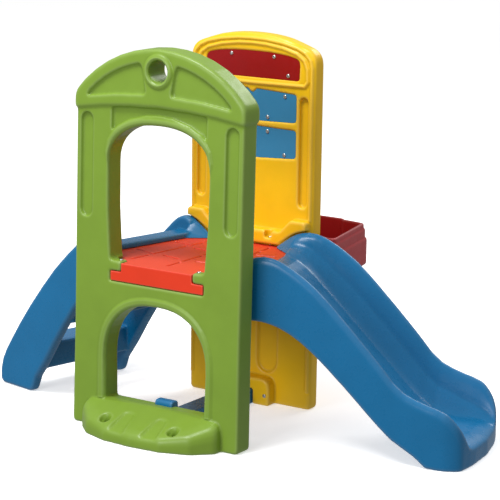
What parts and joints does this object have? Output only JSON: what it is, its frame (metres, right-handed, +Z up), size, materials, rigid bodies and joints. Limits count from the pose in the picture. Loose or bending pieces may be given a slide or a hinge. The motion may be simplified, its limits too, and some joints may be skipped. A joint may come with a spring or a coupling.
{
  "type": "toddler slide",
  "caption": "Toddler play climber: splayed slide and ladder on a trapezoid deck held between an arched front wall and a panelled rear wall, with a tub for balls behind.",
  "frame": {"origin": "on the floor, under the middle of the whole object's box", "axes": "+X along the object towards the foot of the slide, +Y from the front wall to the ball bin, +Z up"},
  "size_m": [1.6276, 0.976, 1.137],
  "materials": {
    "green_plastic": "rotomoulded polyethylene, soft satin gloss, fine grain",
    "yellow_plastic": "rotomoulded polyethylene, soft satin gloss, fine grain",
    "orange_plastic": "red-orange polyethylene with a fine anti-slip grain",
    "blue_plastic": "rotomoulded polyethylene, satin gloss",
    "dark_red_plastic": "rotomoulded polyethylene, satin gloss",
    "panel_blue": "flat moulded panel, satin",
    "panel_red": "flat moulded panel, satin",
    "zinc_steel": "zinc-plated pan-head screws"
  },
  "bodies": {
    "root": {"front_wall": "green_plastic", "rear_wall": "yellow_plastic", "platform": "orange_plastic", "slide": "blue_plastic", "ladder": "blue_plastic", "floor_brace": "blue_plastic", "ball_bin": "dark_red_plastic", "red_panel": "panel_red", "upper_blue_panel": "panel_blue", "lower_blue_panel": "panel_blue", "red_panel_screw_1": "zinc_steel", "red_panel_screw_2": "zinc_steel", "red_panel_screw_3": "zinc_steel", "red_panel_screw_4": "zinc_steel", "upper_panel_screw_1": "zinc_steel", "upper_panel_screw_2": "zinc_steel", "upper_panel_screw_3": "zinc_steel", "upper_panel_screw_4": "zinc_steel", "lower_panel_screw_1": "zinc_steel", "lower_panel_screw_2": "zinc_steel", "lower_panel_screw_3": "zinc_steel", "lower_panel_screw_4": "zinc_steel", "front_lug_screw_1": "zinc_steel", "front_lug_screw_2": "zinc_steel", "shoulder_screw_1": "zinc_steel", "shoulder_screw_2": "zinc_steel", "brace_screw_1": "zinc_steel", "brace_screw_2": "zinc_steel", "slide_screw_1": "zinc_steel", "slide_screw_2": "zinc_steel", "ladder_screw_1": "zinc_steel", "ladder_screw_2": "zinc_steel", "bin_screw_1": "zinc_steel", "bin_screw_2": "zinc_steel"}
  },
  "joints": []
}
